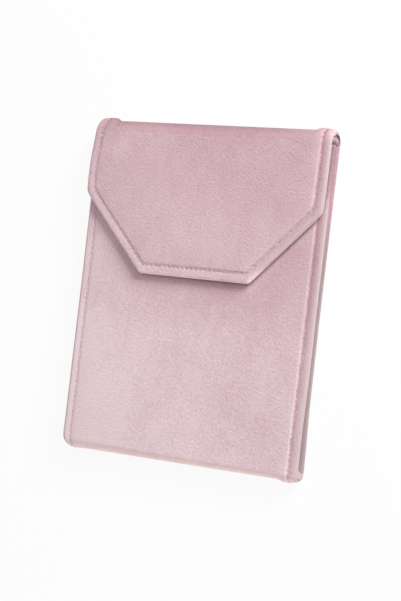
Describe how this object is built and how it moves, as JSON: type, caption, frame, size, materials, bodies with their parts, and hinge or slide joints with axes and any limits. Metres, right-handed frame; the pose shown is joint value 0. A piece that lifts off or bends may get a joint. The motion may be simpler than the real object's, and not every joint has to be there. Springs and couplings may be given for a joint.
{
  "type": "necklace pouch",
  "caption": "Flat velvet necklace pouch that folds in three: padded back, front panel turned up from the bottom fold and a slant-cornered flap turned down from the top fold.",
  "frame": {"origin": "middle of the shut pouch, on the surface under its back panel", "axes": "+X across the pouch, +Y along the pouch towards the top fold, +Z out of the front panel and flap"},
  "size_m": [0.14, 0.181, 0.0157],
  "materials": {
    "velvet": "blush pink short-pile velvet",
    "lining": "dusty pink brushed lining",
    "binding": "satin binding",
    "foam": "thin padding",
    "board": "grey board",
    "magnet": "nickel plated disc",
    "snap": "polished rose gold tone"
  },
  "bodies": {
    "back": {"back_cover": "velvet", "back_foam": "foam", "back_board": "board", "back_lining": "lining", "pocket_panel": "lining", "pocket_binding": "binding", "tab_strip": "velvet", "tab_1_strap": "velvet", "tab_1_cap": "snap", "tab_1_socket": "snap", "tab_1_stud": "snap", "tab_1_post": "snap", "tab_2_strap": "velvet", "tab_2_cap": "snap", "tab_2_socket": "snap", "tab_2_stud": "snap", "tab_2_post": "snap", "tab_3_strap": "velvet", "tab_3_cap": "snap", "tab_3_socket": "snap", "tab_3_stud": "snap", "tab_3_post": "snap", "tab_4_strap": "velvet", "tab_4_cap": "snap", "tab_4_socket": "snap", "tab_4_stud": "snap", "tab_4_post": "snap", "tab_5_strap": "velvet", "tab_5_cap": "snap", "tab_5_socket": "snap", "tab_5_stud": "snap", "tab_5_post": "snap"},
    "top_spine": {"top_fold_cover": "velvet", "top_fold_lining": "lining"},
    "flap": {"flap_cover": "velvet", "flap_foam": "foam", "flap_board": "board", "flap_lining": "lining", "flap_magnet_left": "magnet", "flap_magnet_right": "magnet"},
    "bottom_spine": {"bottom_fold_cover": "velvet", "bottom_fold_lining": "lining"},
    "front": {"front_cover": "velvet", "front_foam": "foam", "front_board": "board", "front_lining": "lining", "front_magnet_left": "magnet", "front_magnet_right": "magnet"}
  },
  "joints": [
    {"name": "flap_fold", "type": "hinge", "parent": "back", "child": "top_spine", "pos_m": [0, 0.08735, 0.00315], "axis": [-1, 0, 0], "range_deg": [0, 90], "deforming": ["top_fold_cover", "top_fold_lining"]},
    {"name": "flap_fold_outer", "type": "hinge", "parent": "top_spine", "child": "flap", "pos_m": [0, 0.08735, 0.01255], "axis": [-1, 0, 0], "range_deg": [0, 90]},
    {"name": "front_fold", "type": "hinge", "parent": "back", "child": "bottom_spine", "pos_m": [0, -0.08782, 0.00268], "axis": [1, 0, 0], "range_deg": [0, 90], "deforming": ["bottom_fold_cover", "bottom_fold_lining"]},
    {"name": "front_fold_outer", "type": "hinge", "parent": "bottom_spine", "child": "front", "pos_m": [0, -0.08782, 0.00922], "axis": [1, 0, 0], "range_deg": [0, 90]}
  ],
  "couplings": [
    {"joint": "flap_fold_outer", "follows": "flap_fold", "ratio": 1},
    {"joint": "front_fold_outer", "follows": "front_fold", "ratio": 1}
  ]
}
